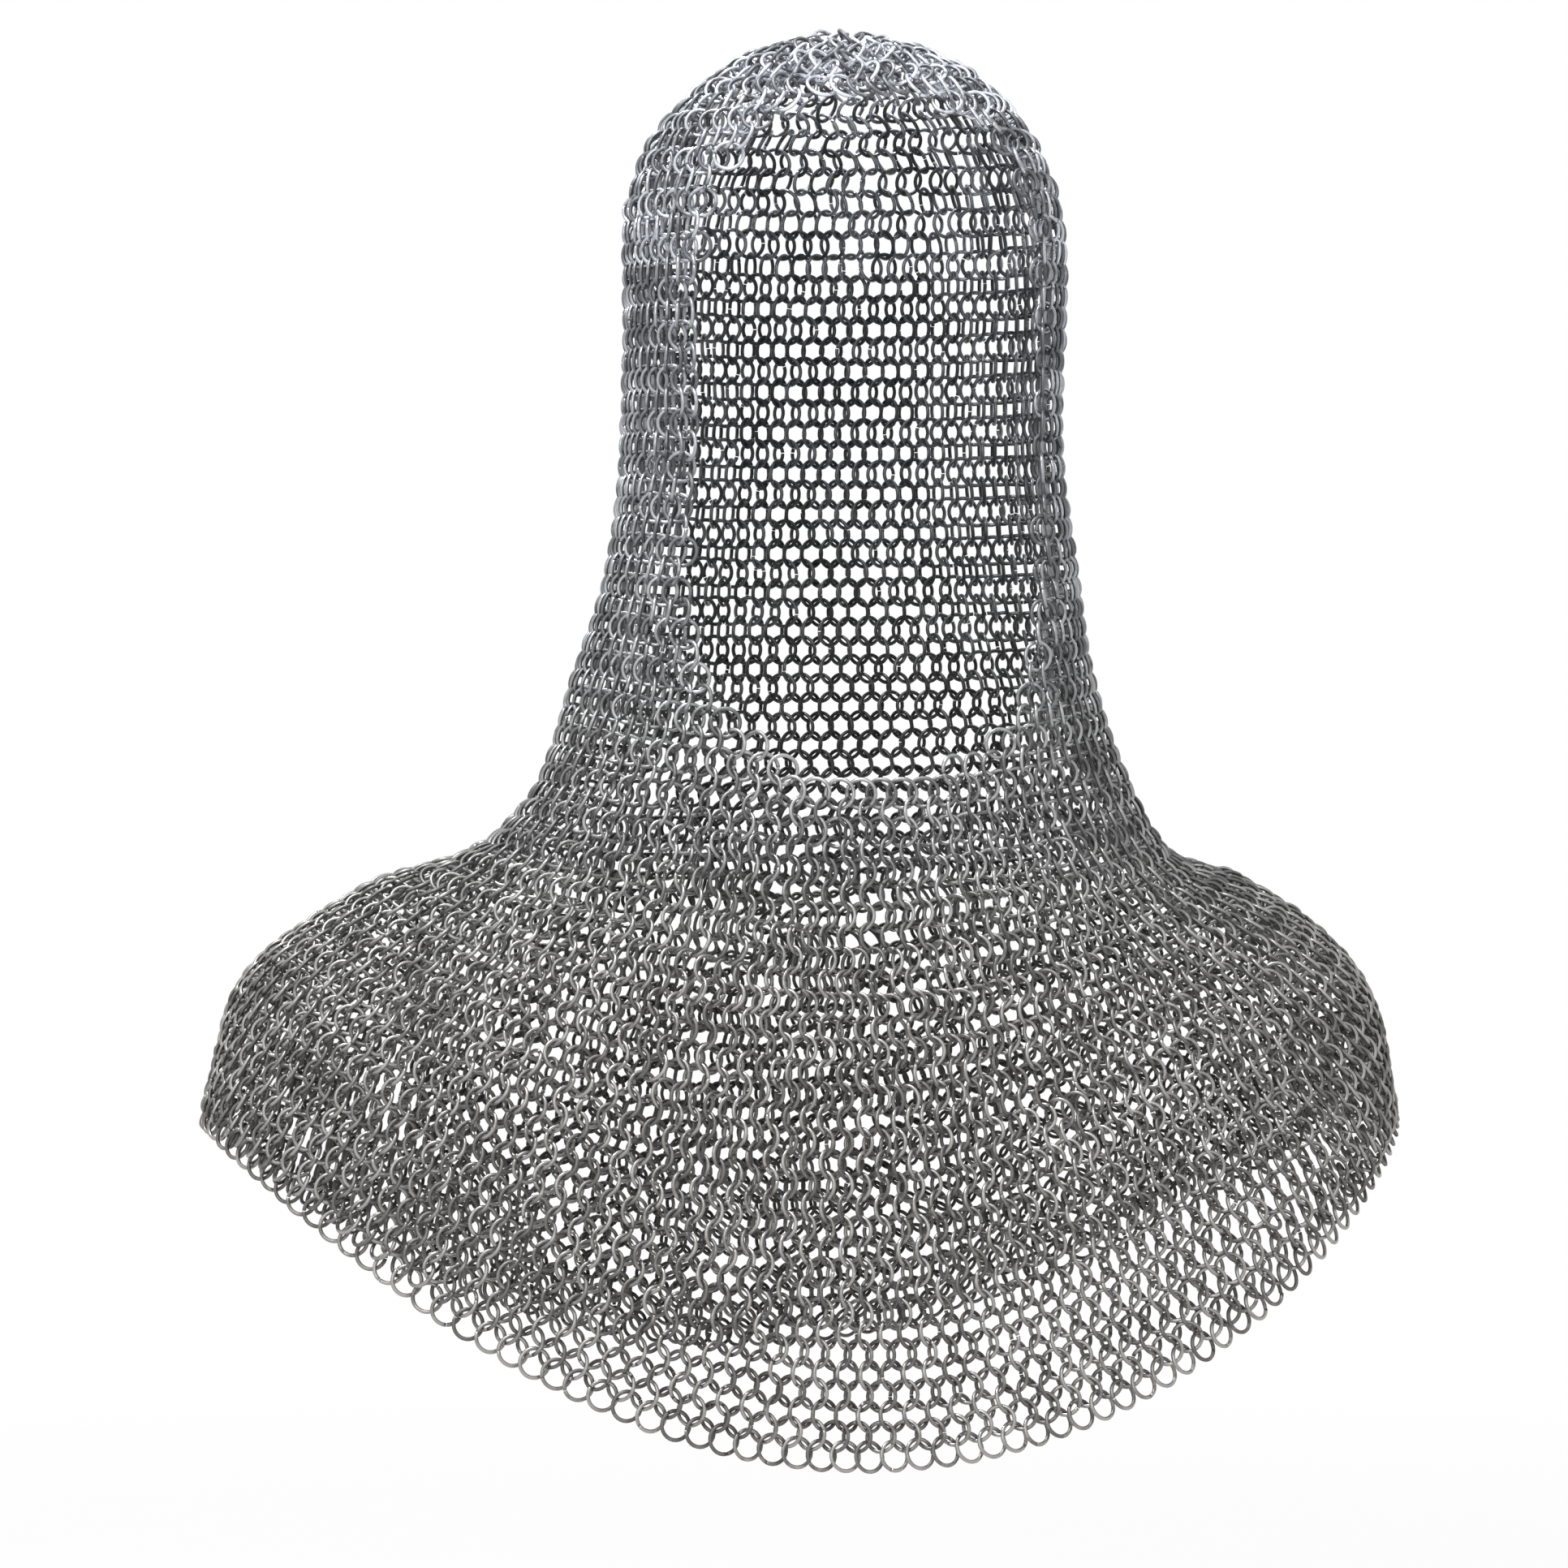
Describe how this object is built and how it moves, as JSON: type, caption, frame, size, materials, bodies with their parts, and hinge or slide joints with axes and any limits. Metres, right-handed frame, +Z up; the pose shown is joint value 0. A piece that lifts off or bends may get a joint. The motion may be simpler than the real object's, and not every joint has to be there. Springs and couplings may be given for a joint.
{
  "type": "mail coif",
  "caption": "Mail hood of linked steel rings, open at the face, that widens without a seam into a mantle over neck, shoulders and upper chest.",
  "frame": {"origin": "where the crown of the mail rests on the top of the head", "axes": "+Z up along the head, -Y out of the face opening, +X to the wearer's left"},
  "size_m": [0.5016, 0.3134, 0.5745],
  "materials": {
    "ring_steel": "dull satin wire",
    "mail_sheet": "dull satin wire"
  },
  "bodies": {
    "root": {"crown_centre_ring": "ring_steel", "crown_round_1": "ring_steel", "crown_round_2": "ring_steel", "dome_band_1": "mail_sheet", "dome_band_2": "mail_sheet", "dome_band_3": "mail_sheet", "dome_band_4": "mail_sheet", "hood_band_1": "mail_sheet", "hood_band_2": "mail_sheet", "hood_band_3": "mail_sheet", "hood_band_4": "mail_sheet", "hood_band_5": "mail_sheet", "hood_band_6": "mail_sheet", "hood_band_7": "mail_sheet", "neck_band_1": "mail_sheet", "neck_band_2": "mail_sheet", "shoulder_band_1": "mail_sheet", "shoulder_band_2": "mail_sheet", "shoulder_band_3": "mail_sheet", "mantle_band_1": "mail_sheet", "mantle_band_2": "mail_sheet", "mantle_band_3": "mail_sheet", "mantle_band_4": "mail_sheet", "face_edge_left": "ring_steel", "face_edge_right": "ring_steel", "face_edge_chin": "ring_steel", "hem_row_1": "ring_steel", "hem_row_2": "ring_steel", "hem_row_3": "ring_steel"}
  },
  "joints": []
}
